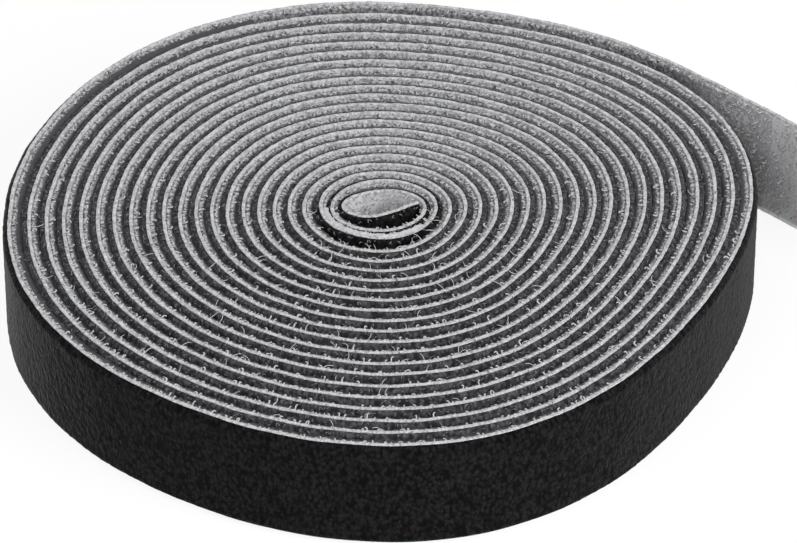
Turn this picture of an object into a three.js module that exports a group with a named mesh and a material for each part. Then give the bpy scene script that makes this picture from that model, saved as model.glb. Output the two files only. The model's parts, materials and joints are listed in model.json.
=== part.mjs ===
// Hook and loop tape wound into a flat roll without a core, lying on its side, with a free end leading away.
// Millimetres, +Z up, standing on z = 0. Seen from above the tape winds outwards clockwise, hooks to the middle.
import * as THREE from 'three';

// The tape: two webs bonded back to back
const tapeWidth = 20;
const hookWebThickness = 0.4; // nylon ground, without the hooks that stand on it
const loopWebThickness = 0.9; // knitted ground and its brushed pile
const bondFilm = 0.1; // between the two webs

// The winding
const rollRadius = 64.5; // mean, from the roll's axis to the bond film of the last turn
const tapeSpacing = 2.75; // about, from one turn to the next: the tape and the hooks caught in its pile
const spacingGrowth = 0.25; // how much closer than that the first turns lie, and how much wider the last
const stepsPerTurn = 24;
const leaveAngle = 46; // degrees from +X to where the free end leaves the roll

// The last half turn stands a little off the one below
const lastLift = 0.5;
const liftStart = 0.62; // turns before the free end leaves
const liftTurns = 0.3; // in which it rises

// The lens-shaped eye in the middle, which the next turns round off
const eyeLength = 13.4;
const eyeWidth = 8.6;
const eyeFade = 1; // turns in which its stretch falls to about a third
const eyeShift = new THREE.Vector2(0.6, 0.9); // how far the eye lies off the turns round it
const innerShift = new THREE.Vector2(-0.7, 0.8); // how far those turns lie off the roll's middle
const innerEndTurn = 0.06; // where the tape starts, in turns from +X
const endTuck = 1.7; // how far the inner end is drawn across the eye
const endTuckTurns = 0.32;

// A soft roll isn't round: the rise of each lobe pattern at the outermost turn, and where it is highest
const lobes = [
  { count: 2, rise: 0.8, degrees: 50 },
  { count: 3, rise: 1.5, degrees: 27 },
  { count: 4, rise: 1.15, degrees: 20.5 },
];
const lobeGrowth = 1.4; // power of the turn that the lobes grow with

// The last laps, which peel off the roll, and the free end that they lead to
const lapCount = 2;
const stepsPerLap = 2;
const tailCount = 3;
const tailSectionLength = 21.5;
const tailHeading = -44; // degrees from +X
const tailBendLength = 12; // over which the tape turns from the roll to that heading
const tailBendSteps = 4;

// Neighbouring sections fold on upright lines in the bond film, between bevelled ends
const foldGap = 0.3;
const foldBevel = 40; // degrees

// The eye's stretch at quarter turns gives the ellipse that the winding starts from
const fadeAt = [0, 0.25, 0.5, 0.75].map((turn) => Math.exp(-turn / eyeFade));
const fadeSum = fadeAt.reduce((sum, fade) => sum + fade, 0);
const lengthShare = (fadeAt[0] + fadeAt[2]) / fadeSum; // of the stretch, on the eye's length
const closedRadius = (eyeLength - lengthShare * (eyeLength - eyeWidth)) / 2; // for a tape with no pitch
const pitchShare = (1 + lengthShare) / 4; // of the pitch, which the first turn takes from that radius

// As many turns as fit, the last one cut short by the leave angle, and the pitch that fills the roll with them
const turnCount = Math.round((rollRadius - closedRadius) / tapeSpacing + pitchShare + leaveAngle / 360);
const lastTurn = turnCount - leaveAngle / 360;
const turnPitch = (rollRadius - closedRadius) / (lastTurn - pitchShare);
const windingSteps = Math.round((lastTurn - innerEndTurn) * stepsPerTurn);
const rollSteps = windingSteps - lapCount * stepsPerLap;
const eyeStretch = (eyeLength - eyeWidth + turnPitch / 2) / fadeSum;
const eyeRadius = closedRadius - pitchShare * turnPitch;

function windingPoint(turn) {
  const angle = -2 * Math.PI * turn;
  const share = turn / lastTurn;
  const fade = Math.exp(-turn / eyeFade);
  let radius = eyeRadius + turnPitch * turn - spacingGrowth * turn * (1 - share);
  for (const lobe of lobes) {
    const phase = lobe.count * (angle - THREE.MathUtils.degToRad(lobe.degrees));
    radius += lobe.rise * share ** lobeGrowth * Math.cos(phase);
  }
  const rise = lastTurn - liftStart;
  radius += lastLift * THREE.MathUtils.smoothstep(turn, rise, rise + liftTurns);
  const tuckShare = Math.min(turn / endTuckTurns, 1);
  const tuck = endTuck * 6.75 * tuckShare * (1 - tuckShare) ** 2; // its peak is 1 at a third of the way
  const point = new THREE.Vector2(
    (radius + eyeStretch * fade) * Math.cos(angle),
    (radius - eyeStretch * fade) * Math.sin(angle) + tuck,
  );
  return point.addScaledVector(eyeShift, fade).addScaledVector(innerShift, 1 - share);
}

// A station is a point on the bond film with the tape's direction there and the way out of the roll
function makeStation(point, heading) {
  const along = new THREE.Vector2(Math.cos(heading), Math.sin(heading));
  return { point, along, outward: new THREE.Vector2(-along.y, along.x) };
}

function windingHeading(turn) {
  const reach = 0.001; // turns to either side
  return windingPoint(turn + reach).sub(windingPoint(turn - reach)).angle();
}

function windingStation(step) {
  const turn = innerEndTurn + ((lastTurn - innerEndTurn) * step) / windingSteps;
  return makeStation(windingPoint(turn), windingHeading(turn));
}

// The free end turns evenly to its heading, then runs straight
const leavePoint = windingPoint(lastTurn);
const leaveHeading = windingHeading(lastTurn);
const tailTurn = THREE.MathUtils.euclideanModulo(
  THREE.MathUtils.degToRad(tailHeading) - leaveHeading + Math.PI, 2 * Math.PI) - Math.PI;

function tailStation(distance) {
  const bent = Math.min(distance, tailBendLength);
  const heading = leaveHeading + (tailTurn * bent) / tailBendLength;
  const middle = leaveHeading + (tailTurn * bent) / tailBendLength / 2;
  const point = leavePoint.clone();
  point.addScaledVector(makeStation(point, middle).along, bent);
  const station = makeStation(point, heading);
  point.addScaledVector(station.along, distance - bent);
  return station;
}

function tailSection(index) {
  const start = index * tailSectionLength;
  const end = start + tailSectionLength;
  const distances = [start];
  for (let step = 1; step <= tailBendSteps; step += 1) {
    const distance = (tailBendLength * step) / tailBendSteps;
    if (distance > start && distance < end) distances.push(distance);
  }
  distances.push(end);
  return distances.map(tailStation);
}

function windingSection(firstStep, stepCount) {
  return Array.from({ length: stepCount + 1 }, (_, index) => windingStation(firstStep + index));
}

// The tape's sections in order, from the inner end to the free end
const sections = [{ name: 'roll', stations: windingSection(0, rollSteps) }];
for (let lap = 0; lap < lapCount; lap += 1) {
  const stations = windingSection(rollSteps + lap * stepsPerLap, stepsPerLap);
  sections.push({ name: `lap_${lap + 1}`, stations });
}
for (let tail = 0; tail < tailCount; tail += 1) {
  sections.push({ name: `tail_${tail + 1}`, stations: tailSection(tail) });
}

const webs = [
  {
    name: 'hook_web',
    faces: [-bondFilm / 2, -bondFilm / 2 - hookWebThickness],
    colour: 0x8e8e90,
    roughness: 0.75,
  },
  {
    name: 'loop_web',
    faces: [bondFilm / 2, bondFilm / 2 + loopWebThickness],
    colour: 0x2a2a2c,
    roughness: 0.95,
  },
];

// One face of a web along a section, drawn back from a fold so that the bevelled ends clear each other
function facePoints(stations, offset, foldsAtStart, foldsAtEnd) {
  const setBack = foldGap / 2 + Math.abs(offset) * Math.tan(THREE.MathUtils.degToRad(foldBevel));
  const points = stations.map(({ point, outward }) => point.clone().addScaledVector(outward, offset));
  if (foldsAtStart) points[0].addScaledVector(stations[0].along, setBack);
  if (foldsAtEnd) points.at(-1).addScaledVector(stations.at(-1).along, -setBack);
  return points;
}

const roll = new THREE.Group();
for (const web of webs) {
  sections.forEach((section, index) => {
    const [bondSide, openSide] = web.faces.map((offset) =>
      facePoints(section.stations, offset, index > 0, index < sections.length - 1));
    const outline = new THREE.Shape([...bondSide, ...openSide.reverse()]);
    const solid = new THREE.ExtrudeGeometry(outline, { depth: tapeWidth, bevelEnabled: false });
    const material = new THREE.MeshStandardMaterial({
      color: web.colour,
      roughness: web.roughness,
      metalness: 0,
    });
    const mesh = new THREE.Mesh(solid, material);
    mesh.name = `${web.name}_${section.name}`;
    roll.add(mesh);
  });
}

// The origin is the middle of the whole outline, on the surface that the tape stands on
const middle = new THREE.Box3().setFromObject(roll).getCenter(new THREE.Vector3());
roll.position.set(-middle.x, -middle.y, 0);

// The least gap of the wound tape and of each web to itself, on points of the faces at least half a turn apart
function leastGap(offsets) {
  const stations = sections[0].stations;
  const points = offsets.flatMap((offset) => facePoints(stations, offset, false, false));
  let least = Infinity;
  points.forEach((point, index) => {
    points.slice(index + 1).forEach((other, further) => {
      const stepsApart = Math.abs((index % stations.length) - ((index + 1 + further) % stations.length));
      if (stepsApart >= stepsPerTurn / 2) least = Math.min(least, point.distanceTo(other));
    });
  });
  return least.toFixed(2);
}

for (const web of webs) {
  console.log(`${web.name}: least gap between its turns ${leastGap(web.faces)} mm`);
}
console.log(`whole tape: least gap between its turns ${leastGap(webs.map((web) => web.faces[1]))} mm`);
sections.slice(1).forEach((section) => {
  const fold = section.stations[0].point.clone().add(roll.position);
  console.log(`${section.name} folds about x ${fold.x.toFixed(3)}, y ${fold.y.toFixed(3)} mm`);
});

export default roll;
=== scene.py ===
import json
import math
import random

import bmesh
import bpy
import numpy as np
from mathutils import Matrix, Vector, noise


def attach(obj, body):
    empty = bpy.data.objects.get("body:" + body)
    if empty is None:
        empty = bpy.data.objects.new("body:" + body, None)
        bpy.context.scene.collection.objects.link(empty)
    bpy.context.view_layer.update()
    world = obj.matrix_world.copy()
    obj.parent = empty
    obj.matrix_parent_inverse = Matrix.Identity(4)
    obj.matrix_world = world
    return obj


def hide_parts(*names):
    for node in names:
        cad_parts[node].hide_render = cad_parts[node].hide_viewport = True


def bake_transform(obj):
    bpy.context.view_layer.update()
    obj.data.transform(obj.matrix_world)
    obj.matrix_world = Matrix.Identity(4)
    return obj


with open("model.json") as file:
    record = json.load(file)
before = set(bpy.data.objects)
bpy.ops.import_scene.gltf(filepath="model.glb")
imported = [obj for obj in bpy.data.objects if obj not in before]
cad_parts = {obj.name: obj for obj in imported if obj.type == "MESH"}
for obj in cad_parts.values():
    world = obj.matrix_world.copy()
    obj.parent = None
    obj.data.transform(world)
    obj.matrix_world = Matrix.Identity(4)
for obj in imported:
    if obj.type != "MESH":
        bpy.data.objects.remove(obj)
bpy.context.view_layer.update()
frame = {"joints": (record.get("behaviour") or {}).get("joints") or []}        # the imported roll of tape, in metres, +Z up along the roll's axis
scene = bpy.context.scene
mm = 0.001               # the tape is laid out flat in millimetres and wound on in metres
tapeWidth = 20.0

# the route of the bond film, the same as the CAD winds, in millimetres from the roll's axis
winding = {
    "radius": 64.5,              # mean, last turn
    "turns": 22,
    "spacingGrowth": 0.25,
    "lastLift": (0.5, 0.62, 0.3),    # how far, turns before the free end leaves, and over how many
    "leaveDegrees": 46,          # where the free end leaves the roll
    "innerEnd": 0.06,            # the tape's inner end, in turns
    "eye": (13.4, 8.6),
    "eyeShift": (0.6, 0.9),
    "innerShift": (-0.7, 0.8),
    "endTuck": 1.7,
    "tuckTurns": 0.32,
    "lobes": ((2, 0.8, 50), (3, 1.5, 27), (4, 1.15, 20.5)),      # count, rise and degrees
    "lobeGrowth": 1.4,
    "tailSection": 21.5,
    "tailSections": 3,
    "tailDegrees": -44,
    "tailBend": 12,
    "points": (16000, 400),      # along the winding and along the free end
    "reach": 0.001,              # turns to either side that give the heading
}

# the eye's stretch at quarter turns gives the ellipse that the winding starts from, and the pitch
lastTurn = winding["turns"] - winding["leaveDegrees"] / 360
fadeAt = [math.exp(-quarter / 4) for quarter in range(4)]
lengthShare = (fadeAt[0] + fadeAt[2]) / sum(fadeAt)
eyeLength, eyeWidth = winding["eye"]
closedRadius = (eyeLength - lengthShare * (eyeLength - eyeWidth)) / 2
pitchShare = (1 + lengthShare) / 4
pitch = (winding["radius"] - closedRadius) / (lastTurn - pitchShare)
eyeStretch = (eyeLength - eyeWidth + pitch / 2) / sum(fadeAt)
eyeRadius = closedRadius - pitchShare * pitch


def windingPoint(turn):
    angle, share, fade = -2 * np.pi * turn, turn / lastTurn, np.exp(-turn)
    radius = eyeRadius + pitch * turn - winding["spacingGrowth"] * turn * (1 - share)
    for count, rise, degrees in winding["lobes"]:
        lobe = np.cos(count * (angle - math.radians(degrees)))
        radius = radius + rise * share ** winding["lobeGrowth"] * lobe
    lift, before, over = winding["lastLift"]
    lifted = np.clip((turn - lastTurn + before) / over, 0, 1)
    radius = radius + lift * lifted ** 2 * (3 - 2 * lifted)
    tucked = np.minimum(turn / winding["tuckTurns"], 1)
    tuck = winding["endTuck"] * 6.75 * tucked * (1 - tucked) ** 2    # 6.75 makes its peak 1
    x = (radius + eyeStretch * fade) * np.cos(angle)
    y = (radius - eyeStretch * fade) * np.sin(angle) + tuck
    eyeShift = np.multiply.outer(fade, winding["eyeShift"])
    innerShift = np.multiply.outer(1 - share, winding["innerShift"])
    return np.stack((x, y), axis=-1) + (eyeShift + innerShift)


def layRoute():
    woundPoints, tailPoints = winding["points"]
    turns = np.linspace(winding["innerEnd"], lastTurn, woundPoints)
    places = windingPoint(turns)
    ahead = windingPoint(turns + winding["reach"]) - windingPoint(turns - winding["reach"])
    headings = np.unwrap(np.arctan2(ahead[:, 1], ahead[:, 0]))
    runs = np.concatenate(([0], np.cumsum(np.linalg.norm(np.diff(places, axis=0), axis=1))))
    # the free end turns evenly to its heading, then runs straight
    out = np.linspace(0, winding["tailSection"] * winding["tailSections"], tailPoints)[1:]
    bent = np.minimum(out, winding["tailBend"])
    swing = (math.radians(winding["tailDegrees"]) - headings[-1] + math.pi) % (2 * math.pi) - math.pi
    tailHeadings = headings[-1] + swing * bent / winding["tailBend"]
    middles = headings[-1] + swing * bent / winding["tailBend"] / 2
    curved = np.stack((np.cos(middles), np.sin(middles)), 1) * bent[:, None]
    straight = np.stack((np.cos(tailHeadings), np.sin(tailHeadings)), 1) * (out - bent)[:, None]
    # the free end's fold line is where it leaves the roll, and so says where the roll's axis is
    fold = next(joint for joint in frame["joints"] if joint["name"] == "tail_swing")
    axis = np.array(fold["pos_m"][:2]) / mm - places[-1]
    return {
        "turns": turns,
        "runs": np.concatenate((runs, runs[-1] + out)),
        "places": np.concatenate((places, places[-1] + (curved + straight))) + axis,
        "headings": np.concatenate((headings, tailHeadings)),
        "axis": axis,
        "wound": runs[-1],
    }


route = layRoute()
print(f"route: {route['wound']:.0f} mm wound, pitch {pitch:.4f} mm, axis at {route['axis'].round(3)} mm")


def runOfTurn(turn):
    return float(np.interp(turn, route["turns"], route["runs"][:len(route["turns"])]))


def turnOfRun(run):
    return np.interp(run, route["runs"][:len(route["turns"])], route["turns"])


def placeAt(run):
    # points, and directions along the tape
    x = np.interp(run, route["runs"], route["places"][:, 0])
    y = np.interp(run, route["runs"], route["places"][:, 1])
    heading = np.interp(run, route["runs"], route["headings"])
    return np.stack((x, y), 1), np.stack((np.cos(heading), np.sin(heading)), 1)


def waves(run, lengths):
    return sum(np.sin(2 * np.pi * run / length + length) for length in lengths) / len(lengths)


# soft tape doesn't lie quite even, which only the look needs
softness = {
    "wander": 0.09,
    "wanderWaves": (13.7, 31.0, 57.3),
    "settle": 60,                # the wander fades over this length, to none at both ends of the winding
    "rise": 0.13,
    "riseWaves": (11.3, 38.9, 83.0),
    "press": (1.2, 2.31, 0.17),  # the second turn is pressed to the first in front: depth, turn, spread
    "loose": (1.0, 1.6),         # the last turns stand off at the back: how far, and turns it falls away in
    "looseArc": (0.5, 0.1, 0.12),    # where the back starts in a turn, and the parts it rises and falls in
    "lean": (1.5, 15),           # the free end leans out: lower edge back by, and over what length
}


def windOn(mesh):
    # the flat place (along, out of the roll, across) is kept for the materials, then wound in metres
    flat = np.empty(len(mesh.vertices) * 3, np.float32)
    mesh.vertices.foreach_get("co", flat)
    kept = mesh.attributes.new("flatPlace", "FLOAT_VECTOR", "POINT")
    kept.data.foreach_set("vector", flat)
    run, out, across = flat.reshape(-1, 3).astype(float).T
    place, along = placeAt(run)
    turn = turnOfRun(run)
    settle = softness["settle"]
    settled = np.clip(run / settle, 0, 1) * np.clip((route["wound"] - settle - run) / settle, 0, 1)
    out = out + softness["wander"] * settled * waves(run, softness["wanderWaves"])
    depth, at, spread = softness["press"]
    out = out - depth * np.exp(-((turn - at) / spread) ** 2)
    back, rising, falling = softness["looseArc"]
    far = np.clip((turn % 1 - back) / rising, 0, 1) * np.clip((1 - turn % 1) / falling, 0, 1)
    off, fade = softness["loose"]
    out = out + off * far * np.exp((turn - lastTurn) / fade)
    lean, length = softness["lean"]
    free = np.clip((run - route["wound"]) / length, 0, 1)
    out = out - lean * free * (1 - across / tapeWidth)
    across = across + softness["rise"] * waves(run, softness["riseWaves"]) * across / tapeWidth
    across = np.maximum(across, 0)
    wound = np.empty((len(run), 3))
    wound[:, 0] = place[:, 0] - along[:, 1] * out
    wound[:, 1] = place[:, 1] + along[:, 0] * out
    wound[:, 2] = across
    mesh.vertices.foreach_set("co", (wound * mm).astype(np.float32).ravel())
    mesh.update()


# materials: patterns lie on the flat place in millimetres, so a noise's scale is its grains in a millimetre
def hexColour(text):
    parts = [int(text[i:i + 2], 16) / 255 for i in (1, 3, 5)]
    return (*[c / 12.92 if c <= 0.04045 else ((c + 0.055) / 1.055) ** 2.4 for c in parts], 1)


def addNode(tree, kind, inputs, **settings):
    # inputs by name or number; a Mix node's colours go into 6 and 7 and come out of 2
    node = tree.nodes.new("ShaderNode" + kind)
    for name, value in settings.items():
        setattr(node, name, value)
    for name, value in inputs.items():
        if isinstance(value, bpy.types.NodeSocket):
            tree.links.new(value, node.inputs[name])
        else:
            node.inputs[name].default_value = value
    return node


def newMaterial(name):
    material = bpy.data.materials.new(name)
    material.use_nodes = True
    material.node_tree.nodes.clear()
    return material, material.node_tree


def waveScale(spacing):
    return math.pi / 10 / spacing        # a wave texture's scale for bands that far apart


# woven polyamide ground, heat set and slit: matt, ribbed by its threads, paler where the knife opened it
nylonLook = {
    "ground": "#929294",
    "thread": "#aeaeb0",
    "rib": 0.78,                 # spacing of the threads along the tape, and of those across it
    "weft": 0.62,
    "cloudsPerMm": 0.35,
    "weaveTone": (0.55, -0.1),   # how much the weave lightens the tone, and where it starts
    "paintedLight": "#c2c2c4",           # painted light: both ends are lightened, standing in for light on the eye's wall and on the free end in the roll's shade
    "paintedLightShare": 0.7,
    "innerPaintedLight": (75, 30),
    "endPaintedLight": (-25, 15),        # from where the free end leaves
    "edge": "#bebec0",
    "frayed": "#7c7c7e",
    "edgeZone": (0.9, 0.3),      # from the slit edge
    "beadsPerMm": 1.6,
    "lowerEdgeWhite": "#ececee",
    "lowerEdgeBand": (0.9, 0.6),      # from the lower edge
}


def wovenNylon():
    material, tree = newMaterial("woven nylon ground")
    flat = addNode(tree, "Attribute", {}, attribute_name="flatPlace").outputs["Vector"]
    split = addNode(tree, "SeparateXYZ", {"Vector": flat})
    ribs = addNode(tree, "TexWave", {"Vector": flat, "Scale": waveScale(nylonLook["rib"]),
                                     "Distortion": 1.2, "Detail": 2.0, "Detail Scale": 1.5},
                   bands_direction="Z")
    weft = addNode(tree, "TexWave", {"Vector": flat, "Scale": waveScale(nylonLook["weft"]),
                                     "Distortion": 0.8, "Detail": 1.0}, bands_direction="X")
    weave = addNode(tree, "Math", {0: ribs.outputs["Fac"], 1: weft.outputs["Fac"]}, operation="MULTIPLY")
    cloud = addNode(tree, "TexNoise", {"Vector": flat, "Scale": nylonLook["cloudsPerMm"], "Detail": 4.0,
                                       "Roughness": 0.65})
    lift, start = nylonLook["weaveTone"]
    tone = addNode(tree, "Math", {0: weave.outputs[0], 1: cloud.outputs["Fac"], 2: start},
                   operation="MULTIPLY_ADD")
    tone = addNode(tree, "Math", {0: weave.outputs[0], 1: lift, 2: tone.outputs[0]},
                   operation="MULTIPLY_ADD")
    colour = addNode(tree, "Mix", {"Factor": tone.outputs[0], 6: hexColour(nylonLook["ground"]),
                                   7: hexColour(nylonLook["thread"])}, data_type="RGBA")
    # painted light: the ground is lightened towards the inner end and along the free end
    endPaintedLight = [route["wound"] + run for run in nylonLook["endPaintedLight"]]
    paintedLight = [addNode(tree, "MapRange", {"Value": split.outputs["X"], "From Min": low, "From Max": high})
            for low, high in (nylonLook["innerPaintedLight"], endPaintedLight)]
    paintedLight = addNode(tree, "Math", {0: paintedLight[0].outputs[0], 1: paintedLight[1].outputs[0]}, operation="MAXIMUM")
    paintedLight = addNode(tree, "Math", {0: paintedLight.outputs[0], 1: nylonLook["paintedLightShare"]}, operation="MULTIPLY")
    colour = addNode(tree, "Mix", {"Factor": paintedLight.outputs[0], 6: colour.outputs[2],
                                   7: hexColour(nylonLook["paintedLight"])}, data_type="RGBA")
    # distance from the middle of the width says where the slit edges are
    half = tapeWidth / 2
    off = addNode(tree, "Math", {0: split.outputs["Z"], 1: half}, operation="SUBTRACT")
    off = addNode(tree, "Math", {0: off.outputs[0]}, operation="ABSOLUTE")
    edge = addNode(tree, "MapRange", {"Value": off.outputs[0], "From Min": half - nylonLook["edgeZone"][0],
                                      "From Max": half - nylonLook["edgeZone"][1]})
    beads = addNode(tree, "TexNoise", {"Vector": flat, "Scale": nylonLook["beadsPerMm"], "Detail": 3.0,
                                       "Roughness": 0.6})
    bright = addNode(tree, "MapRange", {"Value": beads.outputs["Fac"], "From Min": 0.32, "From Max": 0.62})
    cut = addNode(tree, "Mix", {"Factor": bright.outputs[0], 6: hexColour(nylonLook["frayed"]),
                                7: hexColour(nylonLook["edge"])}, data_type="RGBA")
    pale = addNode(tree, "Mix", {"Factor": edge.outputs[0], 6: colour.outputs[2], 7: cut.outputs[2]},
                   data_type="RGBA")
    # the ground turns nearly white along the lower edge
    band = addNode(tree, "MapRange", {"Value": split.outputs["Z"], "From Min": nylonLook["lowerEdgeBand"][0],
                                      "From Max": nylonLook["lowerEdgeBand"][1]})
    pale = addNode(tree, "Mix", {"Factor": band.outputs[0], 6: pale.outputs[2],
                                 7: hexColour(nylonLook["lowerEdgeWhite"])}, data_type="RGBA")
    bump = addNode(tree, "Bump", {"Height": weave.outputs[0], "Strength": 0.5, "Distance": 0.12 * mm})
    shader = addNode(tree, "BsdfPrincipled", {"Base Color": pale.outputs[2], "Roughness": 0.62, "IOR": 1.53,
                                              "Sheen Weight": 0.1, "Sheen Roughness": 0.5,
                                              "Normal": bump.outputs[0]})
    addNode(tree, "OutputMaterial", {"Surface": shader.outputs[0]})
    return material


# drawn polyamide thread: smooth, a soft gloss on its round back, a little clouded
threadLook = {
    "roll": ("#9c9c9e", "#c0c0c2"),
    "end": ("#9a9a9c", "#b2b2b4"),
    "cloudsPerMm": 1.1,
    "grainsPerMm": 9.0,
}


def hookThread(where):
    shade, thread = threadLook[where]
    material, tree = newMaterial("drawn nylon thread, " + where)
    flat = addNode(tree, "Attribute", {}, attribute_name="flatPlace").outputs["Vector"]
    cloud = addNode(tree, "TexNoise", {"Vector": flat, "Scale": threadLook["cloudsPerMm"], "Detail": 2.0})
    colour = addNode(tree, "Mix", {"Factor": cloud.outputs["Fac"], 6: hexColour(shade),
                                   7: hexColour(thread)}, data_type="RGBA")
    grain = addNode(tree, "TexNoise", {"Vector": flat, "Scale": threadLook["grainsPerMm"], "Detail": 2.0})
    bump = addNode(tree, "Bump", {"Height": grain.outputs["Fac"], "Strength": 0.25, "Distance": 0.03 * mm})
    shader = addNode(tree, "BsdfPrincipled", {"Base Color": colour.outputs[2], "Roughness": 0.45,
                                              "IOR": 1.53, "Normal": bump.outputs[0]})
    addNode(tree, "OutputMaterial", {"Surface": shader.outputs[0]})
    return material


# brushed nylon knit, dyed dark: no gloss, a mottled grain of loops, and a faint bloom of fuzz at a slant
knitLook = {
    "wale": 0.9,                 # spacing of the loops across the tape, and along it
    "course": 0.55,
    "fuzzPerMm": 1.9,
    "outer": ("#060606", "#1e1e1f"),
    "inner": ("#212123", "#4c4c4e"),     # painted light: lighter than the outer knit, lifting the shade in the gaps between turns
}


def brushedKnit(where):
    deep, loop = knitLook[where]
    material, tree = newMaterial("brushed nylon knit, " + where)
    flat = addNode(tree, "Attribute", {}, attribute_name="flatPlace").outputs["Vector"]
    loopsPerMm = (1 / knitLook["course"], 1, 1 / knitLook["wale"])
    tall = addNode(tree, "Mapping", {"Vector": flat, "Scale": loopsPerMm})
    loops = addNode(tree, "TexVoronoi", {"Vector": tall.outputs[0], "Scale": 1.0, "Randomness": 0.8},
                    feature="SMOOTH_F1")
    fuzz = addNode(tree, "TexNoise", {"Vector": flat, "Scale": knitLook["fuzzPerMm"], "Detail": 4.0,
                                      "Roughness": 0.7})
    height = addNode(tree, "Math", {0: fuzz.outputs["Fac"], 1: loops.outputs["Distance"]},
                     operation="SUBTRACT")
    tone = addNode(tree, "MapRange", {"Value": height.outputs[0], "From Min": -0.1, "From Max": 0.35})
    colour = addNode(tree, "Mix", {"Factor": tone.outputs[0], 6: hexColour(deep),
                                   7: hexColour(loop)}, data_type="RGBA")
    bump = addNode(tree, "Bump", {"Height": height.outputs[0], "Strength": 1.0, "Distance": 0.13 * mm})
    shader = addNode(tree, "BsdfPrincipled", {"Base Color": colour.outputs[2], "Roughness": 1.0, "IOR": 1.5,
                                              "Specular IOR Level": 0.05, "Sheen Weight": 0.24,
                                              "Sheen Roughness": 0.3, "Normal": bump.outputs[0]})
    addNode(tree, "OutputMaterial", {"Surface": shader.outputs[0]})
    return material


# pulled knit thread, painted light: lighter than the knit itself, lifting the shade in the gaps between
# turns
pileLook = {"thread": "#7c7c7f", "shade": "#444446", "cloudsPerMm": 0.9}


def pileThread():
    material, tree = newMaterial("knit pile thread with painted light")
    flat = addNode(tree, "Attribute", {}, attribute_name="flatPlace").outputs["Vector"]
    cloud = addNode(tree, "TexNoise", {"Vector": flat, "Scale": pileLook["cloudsPerMm"], "Detail": 2.0})
    colour = addNode(tree, "Mix", {"Factor": cloud.outputs["Fac"], 6: hexColour(pileLook["shade"]),
                                   7: hexColour(pileLook["thread"])}, data_type="RGBA")
    shader = addNode(tree, "BsdfPrincipled", {"Base Color": colour.outputs[2], "Roughness": 0.9,
                                              "Specular IOR Level": 0.2, "Sheen Weight": 0.15})
    addNode(tree, "OutputMaterial", {"Surface": shader.outputs[0]})
    return material


# a mass of nylon hooks caught in knit pile: felted, speckled light and dark, no gloss
feltLook = {
    "hook": "#b8b8ba",
    # painted light: lighter than the knit's own dark, lifting the shade between turns
    "pile": "#444446",
    "specksPerMm": 1.7,
    "pileDepth": (-1.5, -0.95),  # out of the roll, all pile at the first and hooks too at the second
    "clearEnd": (5, 30),         # past where the free end leaves, no pile is caught
    "clearTone": 0.8,
}


def caughtHooks():
    material, tree = newMaterial("hooks caught in pile")
    flat = addNode(tree, "Attribute", {}, attribute_name="flatPlace").outputs["Vector"]
    split = addNode(tree, "SeparateXYZ", {"Vector": flat})
    specks = addNode(tree, "TexNoise", {"Vector": flat, "Scale": feltLook["specksPerMm"], "Detail": 3.0,
                                        "Roughness": 0.65})
    tone = addNode(tree, "MapRange", {"Value": specks.outputs["Fac"], "From Min": 0.40, "From Max": 0.58})
    light = addNode(tree, "MapRange", {"Value": split.outputs["Y"], "From Min": feltLook["pileDepth"][0],
                                       "From Max": feltLook["pileDepth"][1]})
    tone = addNode(tree, "Math", {0: tone.outputs[0], 1: light.outputs[0]}, operation="MULTIPLY")
    start, end = [route["wound"] + run for run in feltLook["clearEnd"]]
    clear = addNode(tree, "MapRange", {"Value": split.outputs["X"], "From Min": start, "From Max": end,
                                       "To Max": feltLook["clearTone"]})
    tone = addNode(tree, "Math", {0: tone.outputs[0], 1: clear.outputs[0]}, operation="MAXIMUM")
    colour = addNode(tree, "Mix", {"Factor": tone.outputs[0], 6: hexColour(feltLook["pile"]),
                                   7: hexColour(feltLook["hook"])}, data_type="RGBA")
    bump = addNode(tree, "Bump", {"Height": specks.outputs["Fac"], "Strength": 0.8, "Distance": 0.25 * mm})
    shader = addNode(tree, "BsdfPrincipled", {"Base Color": colour.outputs[2], "Roughness": 0.85,
                                              "Specular IOR Level": 0.2, "Normal": bump.outputs[0]})
    addNode(tree, "OutputMaterial", {"Surface": shader.outputs[0]})
    return material


nylonGround, paintedLightPileThread, caught = wovenNylon(), pileThread(), caughtHooks()
nylonThread, endThread = hookThread("roll"), hookThread("end")
outerKnit, paintedLightInnerKnit = brushedKnit("outer"), brushedKnit("inner")
print("materials:", [material.name for material in bpy.data.materials])


def finishMesh(bm, name, material, sharp=None):
    mesh = bpy.data.meshes.new(name)
    bm.to_mesh(mesh)
    bm.free()
    windOn(mesh)
    mesh.polygons.foreach_set("use_smooth", [True] * len(mesh.polygons))
    if sharp:
        mesh.set_sharp_from_angle(angle=math.radians(sharp))
    mesh.materials.append(material)
    piece = bpy.data.objects.new(name, mesh)
    scene.collection.objects.link(piece)
    return piece


tiny = 1e-4              # millimetres that don't count as a length


def lengthwise(bm):
    return [e for e in bm.edges if abs(e.verts[0].co.x - e.verts[1].co.x) > tiny]


def makeStrip(faces, start, end, step, slit, segments=2, outerOnly=False):
    # a length of flat tape between two faces, its slit edges rounded
    bm = bmesh.new()
    bmesh.ops.create_cube(bm, size=1)
    bmesh.ops.scale(bm, vec=(end - start, faces[1] - faces[0], tapeWidth), verts=bm.verts)
    middle = sum(faces) / 2
    bmesh.ops.translate(bm, vec=((start + end) / 2, middle, tapeWidth / 2), verts=bm.verts)
    corners = [e for e in lengthwise(bm) if e.verts[0].co.y > middle or not outerOnly]
    bmesh.ops.bevel(bm, geom=corners, offset=slit, segments=segments, profile=0.5, affect="EDGES",
                    material=-1)
    cuts = max(1, round((end - start) / step) - 1)
    bmesh.ops.subdivide_edges(bm, edges=lengthwise(bm), cuts=cuts, use_grid_fill=True)
    return bm


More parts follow.
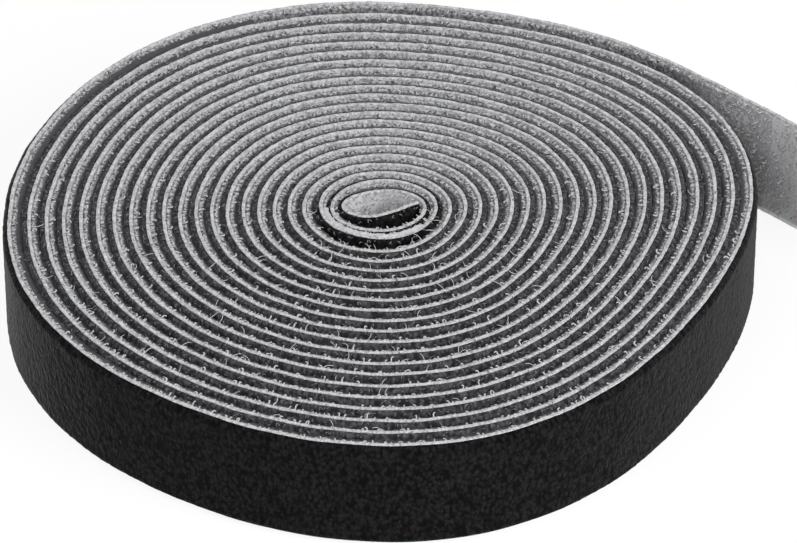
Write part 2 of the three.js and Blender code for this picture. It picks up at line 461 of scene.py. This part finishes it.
def drawIn(bm, inset):
    # both slit edges set back
    middle = Matrix.Translation((0, 0, -tapeWidth / 2))
    bmesh.ops.scale(bm, vec=(1, 1, 1 - 2 * inset / tapeWidth), space=middle, verts=bm.verts)


# the nylon ground that the hooks stand on, its slit edges a little ragged
hookWeb = {
    "faces": (-0.54, 0.06),      # from the bond film, the hooks' side first
    "slit": 0.08,
    "raggedZone": 0.3,           # from the slit edge
    "across": (0.10, 0.9, 2),    # how far, and grains in a millimetre along and out
    "out": (0.11, 0.8, 3),
    "sharp": 25,
}


def hookWebPiece(name, start, end, step):
    bm = makeStrip(hookWeb["faces"], start, end, step, hookWeb["slit"])
    half = tapeWidth / 2
    rise, riseAlong, riseOut = hookWeb["across"]
    sway, swayAlong, swayOut = hookWeb["out"]
    for v in bm.verts:
        if abs(v.co.z - half) > half - hookWeb["raggedZone"]:
            v.co.z += rise * noise.noise(Vector((v.co.x * riseAlong, v.co.y * riseOut, v.co.z)))
            v.co.y += sway * noise.noise(Vector((v.co.x * swayAlong, v.co.y * swayOut, v.co.z)))
    return finishMesh(bm, name, nylonGround, sharp=hookWeb["sharp"])


# the knitted ground with its pile, which stands in uneven tufts and falls away at the slit edges
loopWeb = {
    "faces": (0.07, 0.88),
    "slit": (0.38, 2),           # rounding and its segments
    "outerSlit": (0.75, 1),      # on the outermost turn, where the pile shows
    "inset": 0.15,               # how far its slit edges lie below the hook side's
    "outerRows": 44,
    "outerStep": 0.45,
    "pileFrom": 0.3,
    "lump": 0.09,
    "grain": (1.1, 3, 0.9),      # in a millimetre along and across, and the slice of noise between
    "finer": (0.6, 2.1),         # share and scale of the smaller tufts
    "sharp": 60,
}


def loopWebPiece(name, start, end, step, fine):
    slit, segments = loopWeb["outerSlit"] if fine else loopWeb["slit"]
    length = loopWeb["outerStep"] if fine else step
    bm = makeStrip(loopWeb["faces"], start, end, length, slit, segments, outerOnly=True)
    drawIn(bm, loopWeb["inset"])
    top = loopWeb["faces"][1]
    if fine:
        upright = [e for e in bm.edges if min(v.co.y for v in e.verts) > top - tiny
                   and abs(e.verts[0].co.z - e.verts[1].co.z) > tapeWidth / 2]
        bmesh.ops.subdivide_edges(bm, edges=upright, cuts=loopWeb["outerRows"] - 1, use_grid_fill=True)
    grainAlong, grainSlice, grainAcross = loopWeb["grain"]
    share, scale = loopWeb["finer"]
    for v in bm.verts:
        if v.co.y > loopWeb["pileFrom"]:
            at = Vector((v.co.x * grainAlong, grainSlice, v.co.z * grainAcross))
            tufts = noise.noise(at) + share * noise.noise(at * scale)
            v.co.y += loopWeb["lump"] * v.co.y / top * tufts
    # the inner turns get the knit lightened with painted light
    knit = outerKnit if fine or name.endswith("eye") else paintedLightInnerKnit
    return finishMesh(bm, name, knit, sharp=loopWeb["sharp"])


# between the turns the hooks of one are caught in the pile of the next, a mass a little below the edges
felt = {
    "between": {"faces": (-2.2, -0.45), "edge": 0.44, "fall": 0.5},
    "wall": {"faces": (-2.75, -0.45), "edge": 0.46, "fall": 0.35},   # the last turn stands further off
    "lap": {"faces": (-1.3, -0.45), "edge": 0.46, "fall": 0.5},      # only its own hooks, as it peels
    "end": {"faces": (-1.3, -0.45), "edge": 0.46, "fall": 0.5, "taper": 20},     # thins out
    "pressed": {"faces": (-1.5, -0.45), "edge": -0.04, "fall": 0},   # pushed up in front of the eye
    "firstTurn": 1.2,
    "slit": 0.4,
    "step": 0.36,
    "grain": 1.8,
    "lump": (0.42, 0.21),        # across and out
    "outSlice": Vector((0, 40, 0)),      # a part of the noise for the lumps outwards
    "fallFrom": -1.0,            # out of the roll, where the upper side starts to fall
    "flatEnd": 1,                # the tapered kind is flat over this last length
}


def feltPiece(name, start, end, kind, material):
    shape = felt[kind]
    root = shape["faces"][1]
    bm = makeStrip(shape["faces"], start, end, felt["step"], felt["slit"])
    drawIn(bm, shape["edge"])
    lumpAcross, lumpOut = felt["lump"]
    for v in bm.verts:
        at = v.co * felt["grain"]
        v.co.z += lumpAcross * noise.noise(at)
        if v.co.z > tapeWidth / 2:
            v.co.z += shape["fall"] * min(v.co.y - felt["fallFrom"], 0)
        v.co.y += lumpOut * noise.noise(at + felt["outSlice"])
        if "taper" in shape:
            left = min(max((end - felt["flatEnd"] - v.co.x) / shape["taper"], 0), 1)
            v.co.y = root + (v.co.y - root) * left
    return finishMesh(bm, name, material)


# a thread standing on +Z whose end curls over towards +X, cut through there
cutThread = {"sides": 4, "tip": 0.6}


def makeHook(stem, radius, degrees, steps, thread):
    bm = bmesh.new()
    bmesh.ops.create_circle(bm, cap_ends=True, segments=cutThread["sides"], radius=thread / 2)
    grown = bmesh.ops.extrude_edge_only(bm, edges=bm.edges[:])["geom"]
    raised = [g for g in grown if isinstance(g, bmesh.types.BMVert)]
    bmesh.ops.translate(bm, vec=(0, 0, stem), verts=raised)
    rim = [e for e in bm.edges if all(v.co.z > stem / 2 for v in e.verts)]
    curl = bmesh.ops.spin(bm, geom=rim, cent=(radius, 0, stem), axis=(0, 1, 0), angle=math.radians(degrees),
                          steps=steps)["geom_last"]
    ends = [g for g in curl if isinstance(g, bmesh.types.BMVert)]
    middle = sum((v.co for v in ends), Vector()) / len(ends)
    bmesh.ops.scale(bm, vec=[cutThread["tip"]] * 3, space=Matrix.Translation(-middle), verts=ends)
    bmesh.ops.edgeloop_fill(bm, edges=[g for g in curl if isinstance(g, bmesh.types.BMEdge)])
    bmesh.ops.recalc_face_normals(bm, faces=bm.faces)
    mesh = bpy.data.meshes.new("hook")
    bm.to_mesh(mesh)
    bm.free()
    return mesh


def addCopy(bm, mesh, matrix):
    first = len(bm.verts)
    bm.from_mesh(mesh)
    bm.verts.ensure_lookup_table()
    bmesh.ops.transform(bm, matrix=matrix, verts=bm.verts[first:])


# a short run of tape with its threads, from which longer runs are put together
patch = {"length": 12.0, "jitter": 0.35}


def scatter(shapes, rows, seed, column, skip, pose):
    draw = random.Random(seed)
    bm = bmesh.new()
    for index, across in enumerate(rows):
        for k in range(round(patch["length"] / column)):
            if draw.random() < skip:
                continue
            # every other row is shifted by half a column
            along = (k + (index % 2) / 2 + draw.uniform(-patch["jitter"], patch["jitter"])) * column
            shape, matrix = pose(draw, along, across)
            addCopy(bm, shapes[shape], matrix)
    mesh = bpy.data.meshes.new("patch")
    bm.to_mesh(mesh)
    bm.free()
    return mesh


# a hook is a loop of thread that was cut through on one side; those at the upper edge are combed upwards
hooks = {
    "thread": 0.26,
    "root": -0.45,
    "kinds": (
        # stem, curl radius, curl degrees, steps, how often
        (0.48, 0.20, 190, 4, 38),
        (0.62, 0.18, 150, 3, 24),
        (0.42, 0.60, 35, 2, 24),
        (0.85, 0.25, 150, 4, 14),
    ),
    "scale": (0.75, 1.15),
    "curlSpread": 0.5,           # in radians, as the next two, which are mean and spread
    "sway": (0, 0.2),
    "lean": (0.05, 0.2),
    "shift": (-0.2, 0.2),
    "combedFrom": 19,
    "combedLean": (-0.1, 0.2),
    "combedShift": (0.03, 0.14),
    "topRow": 19.48,
    "edgeRows": (0.7, 2),        # spacing and count
    "allRows": (0.95, 20),
    "lowRow": 1.52,
}
hookShapes = [makeHook(*kind[:4], hooks["thread"]) for kind in hooks["kinds"]]
standing = Matrix.Rotation(math.radians(90), 4, "X")     # from +Z to out of the hook side


def poseHook(draw, along, across):
    kind = draw.choices(range(len(hookShapes)), [k[4] for k in hooks["kinds"]])[0]
    combed = across > hooks["combedFrom"]
    shift = draw.gauss(*hooks["combedShift"]) if combed else draw.uniform(*hooks["shift"])
    curl = draw.choice((0, math.pi)) + draw.gauss(0, hooks["curlSpread"])
    sway = Matrix.Rotation(draw.gauss(*hooks["sway"]), 4, "Z")
    lean = sway @ Matrix.Rotation(draw.gauss(*hooks["combedLean" if combed else "lean"]), 4, "X")
    place = Matrix.Translation((along, hooks["root"], across + shift))
    scale = Matrix.Scale(draw.uniform(*hooks["scale"]), 4)
    return kind, place @ lean @ standing @ Matrix.Rotation(curl, 4, "Z") @ scale


# loops of the pile along its upper rim
loops = {
    "thread": 0.13,
    "shape": (0.12, 0.24, 190, 3),
    "row": 19.4,
    "column": 0.75,
    "skip": 0.15,
    "seeds": range(40, 50),
    "out": (0.15, 0.8),
    "rise": (0.42, 0.75),        # at the bond film, and how much less for each millimetre out of the roll
    "shift": (-0.1, 0.12),
    "lean": (0.1, 1.2),
    "curl": (0, 6.28),
    "scale": (0.8, 1.4),
}
loopShapes = [makeHook(*loops["shape"], loops["thread"])]


def poseLoop(draw, along, across):
    out = draw.uniform(*loops["out"])
    high, slope = loops["rise"]
    place = (along, out, across + (high - slope * out + draw.uniform(*loops["shift"])))
    lean = Matrix.Rotation(-draw.uniform(*loops["lean"]), 4, "X")
    curl = Matrix.Rotation(draw.uniform(*loops["curl"]), 4, "Z")
    return 0, Matrix.Translation(place) @ lean @ curl @ Matrix.Scale(draw.uniform(*loops["scale"]), 4)


edgeRows, allRows = [[hooks["topRow"] - spacing * k for k in range(count)]
                     for spacing, count in (hooks["edgeRows"], hooks["allRows"])]
patchKinds = {
    # rows, seeds, column, share left out
    "edge": (edgeRows + [hooks["lowRow"]], range(14), 0.75, 0.15),       # what shows of an inner turn
    "full": (allRows, range(20, 24), 1.05, 0.1),
    "pressed": (edgeRows, range(30, 33), 0.42, 0.1),
}
hookPatches = {kind: [scatter(hookShapes, rows, seed, column, skip, poseHook) for seed in seeds]
               for kind, (rows, seeds, column, skip) in patchKinds.items()}
pilePatches = [scatter(loopShapes, [loops["row"]], seed, loops["column"], loops["skip"], poseLoop)
               for seed in loops["seeds"]]
print("patches:", {kind: len(patches) for kind, patches in hookPatches.items()}, "and", len(pilePatches))


def patchedPiece(name, start, end, patches, seed, material):
    draw = random.Random(seed)
    bm = bmesh.new()
    count = max(1, round((end - start) / patch["length"]))
    for k in range(count):
        addCopy(bm, draw.choice(patches), Matrix.Translation((start + (end - start) * k / count, 0, 0)))
    return finishMesh(bm, name, material)


# threads that the hooks have pulled across to the turn inside, mostly in front
strands = {
    "count": 220,
    "seed": 7,
    "thread": 0.12,
    "shapes": ((0.3, 1.3, 75, 4), (0.5, 1.9, 48, 4), (0.3, 0.9, 110, 5)),
    "turns": (2, 20),
    "front": 0.25,               # of a turn
    "frontSpread": 0.16,
    "across": (19.5, 20.0),
    "sway": (0, 0.3),            # mean and spread in radians
    "lean": (-0.05, 0.15),
    "curlSpread": 0.6,
    "scale": (0.75, 1.2),
}


def strandPiece():
    draw = random.Random(strands["seed"])
    shapes = [makeHook(*shape, strands["thread"]) for shape in strands["shapes"]]
    bm = bmesh.new()
    for _ in range(strands["count"]):
        turn = draw.randint(*strands["turns"]) + strands["front"] + draw.gauss(0, strands["frontSpread"])
        place = Matrix.Translation((runOfTurn(turn), hooks["root"], draw.uniform(*strands["across"])))
        sway = Matrix.Rotation(draw.gauss(*strands["sway"]), 4, "Z")
        lean = sway @ Matrix.Rotation(draw.gauss(*strands["lean"]), 4, "X")
        curl = Matrix.Rotation(draw.choice((0, math.pi)) + draw.gauss(0, strands["curlSpread"]), 4, "Z")
        shape = draw.choice(shapes)
        scale = Matrix.Scale(draw.uniform(*strands["scale"]), 4)
        addCopy(bm, shape, place @ lean @ standing @ curl @ scale)
    return finishMesh(bm, "strands", nylonThread)


# the tape in stretches: those of the roll lie between turns, each of the others has a fold line in it
stretches = {
    "roll": ("eye", "inner", "middle", "outer", "rim", "wall"),
    "rollTurns": (2.5, 9, 13.5, 17, 20.62),      # where one ends and the next starts
    "pressedTurns": (2.1, 2.5),
    "stepsPerTurn": 24,          # CAD steps
    "lapSteps": (4, 2),          # from the start of each lap to where the free end leaves
    "beforeFold": 6,             # from the end of the roll's last stretch to the first fold
    "bend": (-1, 9),             # where the bend starts and ends, from the fold
    "felt": {"wall": "wall", "lap_1": "lap", "lap_2": "lap", "tail_1": "lap", "tail_2": "end"},
    "step": 0.6,
    "eyeStep": 0.4,
    "hookSeed": 100,
    "pileSeed": 300,
    "pressedSeed": 400,
    "foldSeed": 10,              # added from the first lap on
}
cadSteps = round((lastTurn - winding["innerEnd"]) * stretches["stepsPerTurn"])
lapTurns = [winding["innerEnd"] + (lastTurn - winding["innerEnd"]) * (cadSteps - back) / cadSteps
            for back in stretches["lapSteps"]]
tailStarts = [route["wound"] + winding["tailSection"] * k for k in range(winding["tailSections"])]
folds = [runOfTurn(turn) for turn in lapTurns] + tailStarts
bodies = ["roll", "lap_1", "lap_2", "tail_1", "tail_2", "tail_3"]
halfway = [(a + b) / 2 for a, b in zip(folds, folds[1:])]
between = [folds[0] - stretches["beforeFold"]] + halfway + [folds[-1] + winding["tailSection"]]
ends = [0] + [runOfTurn(turn) for turn in stretches["rollTurns"]] + [between[0]]
made = {}


def makeStretch(name, start, end, patches, fine, thread, seed, caughtAs):
    step = stretches["eyeStep"] if name == "eye" else stretches["step"]
    hookSeed, pileSeed = stretches["hookSeed"] + seed, stretches["pileSeed"] + seed
    made[name] = {
        "hookWeb": hookWebPiece("hook_ground_" + name, start, end, step),
        "loopWeb": loopWebPiece("loop_ground_" + name, start, end, step, fine),
        "hooks": patchedPiece("hooks_" + name, start, end, patches, hookSeed, thread),
    }
    if not fine:             # the outermost pile is smooth
        made[name]["pile"] = patchedPiece("pile_" + name, start, end, pilePatches, pileSeed, paintedLightPileThread)
    if caughtAs:
        caughtFrom = max(start, runOfTurn(felt["firstTurn"]))
        made[name]["felt"] = feltPiece("felt_" + name, caughtFrom, end, caughtAs, caught)
    return made[name].values()


for index, name in enumerate(stretches["roll"]):
    patches = hookPatches["full" if name == "eye" else "edge"]
    pieces = makeStretch(name, ends[index], ends[index + 1], patches, name == "wall", nylonThread, index,
                         stretches["felt"].get(name, "between"))
    for piece in pieces:
        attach(piece, "roll")

for k, fold in enumerate(folds):
    pieces = makeStretch(bodies[k + 1], between[k], between[k + 1], hookPatches["full"], True, endThread,
                         stretches["foldSeed"] + k, stretches["felt"].get(bodies[k + 1]))
    for piece in pieces:
        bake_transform(piece)

for name, pieces in made.items():
    body = name if name in bodies else "roll"
    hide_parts("hook_web_" + body)
    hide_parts("loop_web_" + body)

pressedRuns = [runOfTurn(turn) for turn in stretches["pressedTurns"]]
pressed = patchedPiece("hooks_pressed", *pressedRuns, hookPatches["pressed"], stretches["pressedSeed"],
                       nylonThread)
for piece in (pressed, feltPiece("felt_pressed", *pressedRuns, "pressed", nylonThread), strandPiece()):
    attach(piece, "roll")

# floor and backdrop: pale, white to the camera, still holding a soft shadow
floorLook = {"size": 3.0, "below": 0.0003, "paper": "#f4f4f4", "white": 0.88}


def makeFloor():
    bm = bmesh.new()
    bmesh.ops.create_grid(bm, x_segments=1, y_segments=1, size=floorLook["size"])
    bmesh.ops.translate(bm, vec=(0, 0, -floorLook["below"]), verts=bm.verts)
    mesh = bpy.data.meshes.new("floor")
    bm.to_mesh(mesh)
    bm.free()
    material, tree = newMaterial("white paper")
    paper = addNode(tree, "BsdfDiffuse", {"Color": hexColour(floorLook["paper"])})
    white = addNode(tree, "Emission", {"Color": (1, 1, 1, 1), "Strength": 1.0})
    path = addNode(tree, "LightPath", {})
    seen = addNode(tree, "Math", {0: path.outputs["Is Camera Ray"], 1: path.outputs["Is Glossy Ray"]},
                   operation="ADD")
    seen = addNode(tree, "Math", {0: seen.outputs[0], 1: path.outputs["Is Transmission Ray"]},
                   operation="ADD")
    share = addNode(tree, "Math", {0: seen.outputs[0], 1: floorLook["white"]}, operation="MULTIPLY")
    mixed = addNode(tree, "MixShader", {0: share.outputs[0], 1: paper.outputs[0], 2: white.outputs[0]})
    addNode(tree, "OutputMaterial", {"Surface": mixed.outputs[0]})
    mesh.materials.append(material)
    floor = bpy.data.objects.new("floor", mesh)
    scene.collection.objects.link(floor)


makeFloor()

# plain soft studio light: a large key from the right front, a fill from the left, and the room
studio = {
    "room": (0.28, 0.6),         # in front of the roll, and the bright sweep behind it
    "sweep": (-0.6, 0.8),        # how far to the back it starts and ends
    "key": {"place": (0.74, -0.58, 0.60), "size": 0.6, "watts": 12.5},
    "fill": {"place": (-0.40, -0.62, 0.82), "size": 0.8, "watts": 6.6},
}


def makeLight():
    world = bpy.data.worlds.new("room")
    world.use_nodes = True
    tree = world.node_tree
    tree.nodes.clear()
    toward = addNode(tree, "TexCoord", {}).outputs["Generated"]
    back = addNode(tree, "SeparateXYZ", {"Vector": toward}).outputs["Y"]
    sweep = addNode(tree, "MapRange", {"Value": back, "From Min": studio["sweep"][0],
                                       "From Max": studio["sweep"][1], "To Min": studio["room"][0],
                                       "To Max": studio["room"][1]})
    # plain white where the camera or a gloss sees it
    path = addNode(tree, "LightPath", {})
    seen = addNode(tree, "Math", {0: path.outputs["Is Camera Ray"], 1: path.outputs["Is Glossy Ray"]},
                   operation="MAXIMUM")
    strength = addNode(tree, "MapRange", {"Value": seen.outputs[0], "To Min": sweep.outputs[0],
                                          "To Max": 1.0})
    sky = addNode(tree, "Background", {"Color": (1, 1, 1, 1), "Strength": strength.outputs[0]})
    addNode(tree, "OutputWorld", {"Surface": sky.outputs[0]})
    scene.world = world
    for name in ("key", "fill"):
        lamp = bpy.data.lights.new(name, "AREA")
        lamp.energy, lamp.size = studio[name]["watts"], studio[name]["size"]
        holder = bpy.data.objects.new(name, lamp)
        holder.location = studio[name]["place"]
        holder.rotation_euler = (-Vector(studio[name]["place"])).to_track_quat("-Z", "Y").to_euler()
        scene.collection.objects.link(holder)


makeLight()
print("floor and light set")

# the camera stands where the photograph was taken from; away and aim in mm, focal length and frame in pixels
view = {"away": 900, "tilt": 36.54, "aim": (2.45, 9.88), "focal": 5244, "frameWidth": 797, "sensor": 36}


def makeCamera():
    lens = bpy.data.cameras.new("camera")
    lens.sensor_width = view["sensor"]
    lens.lens = view["focal"] * view["sensor"] / view["frameWidth"]
    holder = bpy.data.objects.new("camera", lens)
    tilt = math.radians(view["tilt"])
    axis = Vector((*route["axis"], 0))
    place = axis + Vector((0, -math.cos(tilt), math.sin(tilt))) * view["away"]
    aim = axis + Vector((*view["aim"], 0))
    holder.location = place * mm
    holder.rotation_euler = (aim - place).to_track_quat("-Z", "Y").to_euler()
    scene.collection.objects.link(holder)
    scene.camera = holder


makeCamera()
scene.view_settings.view_transform = "Standard"
